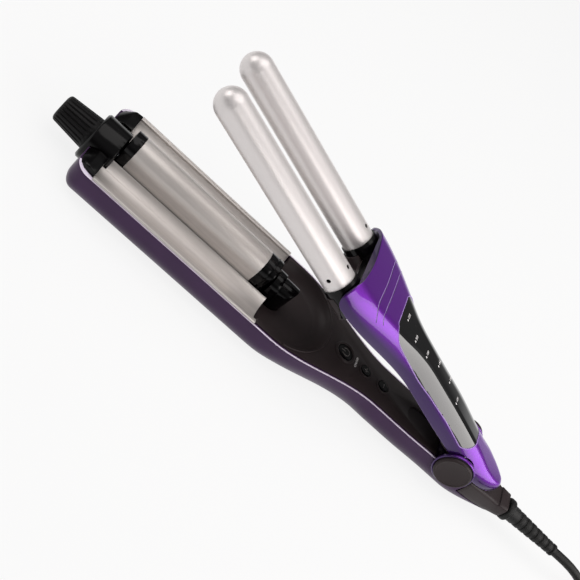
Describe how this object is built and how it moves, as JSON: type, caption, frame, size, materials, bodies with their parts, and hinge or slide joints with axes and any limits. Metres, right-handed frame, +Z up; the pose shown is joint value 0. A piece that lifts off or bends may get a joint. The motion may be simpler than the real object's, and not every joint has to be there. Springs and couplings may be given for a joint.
{
  "type": "hair waver",
  "caption": "Three-barrel hair waver, purple and black, with two upper barrels on a hinged arm, a lowering middle barrel, a fluted dial, three buttons and a coiled power cord",
  "frame": {"origin": "on the surface the waver rests on, straight below the hinge axis", "axes": "+Z up, +X from the hinge to the dial at the tip, +Y to the left side"},
  "size_m": [0.5465, 0.114, 0.1187],
  "materials": {
    "plum_plastic": "satin moulded dark plum",
    "purple_gloss": "candy purple lacquer over the shell",
    "black_plastic": "satin brown-black",
    "gloss_black": "polished black",
    "matte_black": "matte black grip",
    "satin_aluminium": "satin brushed along the length",
    "silver_coat": "satin silver ceramic coat",
    "steel": "plain",
    "brass": "plain",
    "ceramic": "white heater body",
    "board": "circuit board",
    "lamp": "clear lens",
    "cord_rubber": "matte black"
  },
  "bodies": {
    "lower_arm": {"lower_shell": "plum_plastic", "control_deck": "black_plastic", "trough_carrier": "black_plastic", "left_trough": "satin_aluminium", "right_trough": "satin_aluminium", "left_tip_cap": "gloss_black", "right_tip_cap": "gloss_black", "trough_heaters": "ceramic", "thermal_fuse": "ceramic", "dial_housing": "gloss_black", "rear_guide": "gloss_black", "tail_housing": "black_plastic", "left_hinge_cap": "black_plastic", "right_hinge_cap": "black_plastic", "hinge_pin": "steel", "return_spring": "steel", "control_board": "board", "tact_switches": "steel", "shell_screws": "steel", "strain_relief": "cord_rubber", "power_cord": "cord_rubber", "cord_coil": "cord_rubber", "plug_lead": "cord_rubber", "plug": "cord_rubber", "plug_blades": "brass"},
    "upper_arm": {"upper_shell": "purple_gloss", "display_window": "gloss_black", "inner_cover": "black_plastic", "barrel_mount": "gloss_black", "left_barrel": "silver_coat", "right_barrel": "silver_coat", "barrel_screws": "steel", "barrel_heaters": "ceramic", "indicator_board": "board", "indicator_lamps": "lamp", "cover_screws": "steel", "hinge_bushes": "brass"},
    "dial": {"dial_knob": "matte_black", "dial_shaft": "steel", "front_cam": "brass", "rear_cam": "brass"},
    "lifting_barrel": {"middle_barrel": "satin_aluminium", "front_barrel_cap": "gloss_black", "rear_barrel_cap": "gloss_black", "middle_heater": "ceramic"},
    "power_button_body": {"power_button": "gloss_black"},
    "plus_button_body": {"plus_button": "gloss_black"},
    "minus_button_body": {"minus_button": "gloss_black"}
  },
  "joints": [
    {"name": "hinge", "type": "hinge", "parent": "lower_arm", "child": "upper_arm", "pos_m": [0, 0, 0.025], "axis": [0, 1, 0], "range_deg": [0, 18], "stiffness_Nm_per_rad": 0.6, "springref_deg": -28.65},
    {"name": "dial_turn", "type": "hinge", "parent": "lower_arm", "child": "dial", "pos_m": [0.29, 0, 0.0167], "axis": [1, 0, 0], "range_deg": [0, 180]},
    {"name": "barrel_drop", "type": "slide", "parent": "lower_arm", "child": "lifting_barrel", "axis": [0, 0, -1], "range_m": [0, 0.005]},
    {"name": "power_button_press", "type": "slide", "parent": "lower_arm", "child": "power_button_body", "axis": [0, 0, -1], "range_m": [0, 0.001], "stiffness_N_per_m": 300, "springref_m": -0.0003},
    {"name": "plus_button_press", "type": "slide", "parent": "lower_arm", "child": "plus_button_body", "axis": [0, 0, -1], "range_m": [0, 0.001], "stiffness_N_per_m": 300, "springref_m": -0.0003},
    {"name": "minus_button_press", "type": "slide", "parent": "lower_arm", "child": "minus_button_body", "axis": [0, 0, -1], "range_m": [0, 0.001], "stiffness_N_per_m": 300, "springref_m": -0.0003}
  ],
  "couplings": [
    {"joint": "dial_turn", "follows": "barrel_drop", "rad_per_m": 628.32}
  ]
}
